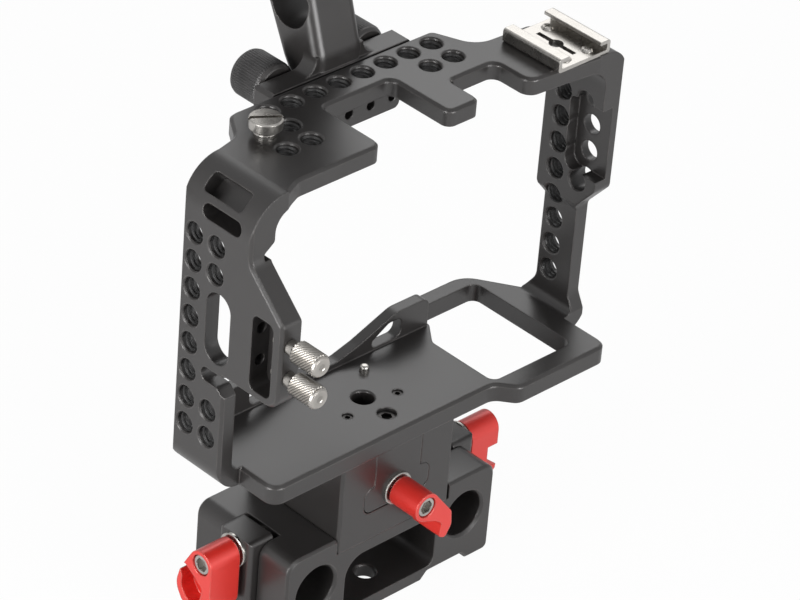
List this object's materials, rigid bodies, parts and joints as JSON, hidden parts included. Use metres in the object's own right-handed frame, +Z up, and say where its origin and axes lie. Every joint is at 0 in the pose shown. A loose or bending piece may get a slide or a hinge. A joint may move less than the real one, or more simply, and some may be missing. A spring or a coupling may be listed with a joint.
{
  "type": "camera cage",
  "caption": "Camera cage of machined bars with tapped holes, cold shoe, cable clamp, top handle and a quick-release rod base with clamp levers.",
  "frame": {"origin": "centre of the base's underside, below the lens axis", "axes": "+X to the operator's right, +Y forwards along the lens, +Z up"},
  "size_m": [0.146, 0.0978, 0.224],
  "materials": {
    "black_anodised": "satin black anodised",
    "red_anodised": "red anodised",
    "nickel": "satin nickel plate",
    "black_screw": "black oxide"
  },
  "bodies": {
    "base": {"base_block": "black_anodised", "riser_block": "black_anodised", "riser_screws": "nickel"},
    "jaw_left": {"jaw_left": "black_anodised"},
    "jaw_right": {"jaw_right": "black_anodised"},
    "clamp_left": {"lever_left": "red_anodised", "washer_left": "nickel", "lever_screw_left": "nickel"},
    "clamp_right": {"lever_right": "red_anodised", "washer_right": "nickel", "lever_screw_right": "nickel"},
    "cage": {"release_rail": "black_anodised", "rail_screw": "black_screw", "plate_set_screws": "black_screw", "cage_frame": "black_anodised", "cold_shoe": "nickel", "shoe_screws": "nickel", "locating_pin": "nickel", "top_handle": "black_anodised"},
    "clamp_centre": {"lever_centre": "red_anodised", "washer_centre": "nickel", "lever_screw_centre": "nickel"},
    "camera_screw": {"camera_screw": "black_screw"},
    "accessory_screw": {"accessory_screw": "nickel"},
    "cable_screw_upper": {"cable_screw_upper": "nickel"},
    "cable_screw_lower": {"cable_screw_lower": "nickel"},
    "knob_left": {"handle_knob_left": "black_anodised", "handle_stud_left": "black_screw"},
    "knob_right": {"handle_knob_right": "black_anodised", "handle_stud_right": "black_screw"}
  },
  "joints": [
    {"name": "cage_slide", "type": "slide", "parent": "base", "child": "cage", "axis": [0, -1, 0], "range_m": [0, 0.038]},
    {"name": "jaw_left_slide", "type": "slide", "parent": "base", "child": "jaw_left", "axis": [-1, 0, 0], "range_m": [0, 0.00033]},
    {"name": "lever_left_turn", "type": "hinge", "parent": "jaw_left", "child": "clamp_left", "pos_m": [-0.0464, -0.0005, 0.0282], "axis": [-1, 0, 0], "range_deg": [0, 150]},
    {"name": "knob_left_turn", "type": "hinge", "parent": "cage", "child": "knob_left", "pos_m": [-0.0074, 0.0337, 0.1538], "axis": [0, 1, 0], "continuous": true},
    {"name": "jaw_right_slide", "type": "slide", "parent": "base", "child": "jaw_right", "axis": [1, 0, 0], "range_m": [0, 0.00033]},
    {"name": "lever_right_turn", "type": "hinge", "parent": "jaw_right", "child": "clamp_right", "pos_m": [0.0464, -0.0005, 0.0282], "axis": [1, 0, 0], "range_deg": [0, 150]},
    {"name": "knob_right_turn", "type": "hinge", "parent": "cage", "child": "knob_right", "pos_m": [0.028, 0.0337, 0.1538], "axis": [0, 1, 0], "continuous": true},
    {"name": "lever_centre_turn", "type": "hinge", "parent": "cage", "child": "clamp_centre", "pos_m": [0, -0.021, 0.0412], "axis": [0, -1, 0], "range_deg": [0, 150]},
    {"name": "camera_screw_rise", "type": "slide", "parent": "cage", "child": "camera_screw", "axis": [0, 0, 1], "range_m": [0, 0.012]},
    {"name": "accessory_screw_turn", "type": "hinge", "parent": "cage", "child": "accessory_screw", "pos_m": [-0.0325, 0.0109, 0.1584], "axis": [0, 0, 1], "continuous": true},
    {"name": "cable_screw_upper_turn", "type": "hinge", "parent": "cage", "child": "cable_screw_upper", "pos_m": [-0.0564, -0.0292, 0.119], "axis": [0, -1, 0], "continuous": true},
    {"name": "cable_screw_lower_turn", "type": "hinge", "parent": "cage", "child": "cable_screw_lower", "pos_m": [-0.0564, -0.0292, 0.1085], "axis": [0, -1, 0], "continuous": true}
  ],
  "couplings": [
    {"joint": "lever_left_turn", "follows": "jaw_left_slide", "rad_per_m": 7854},
    {"joint": "lever_right_turn", "follows": "jaw_right_slide", "rad_per_m": 7854}
  ]
}
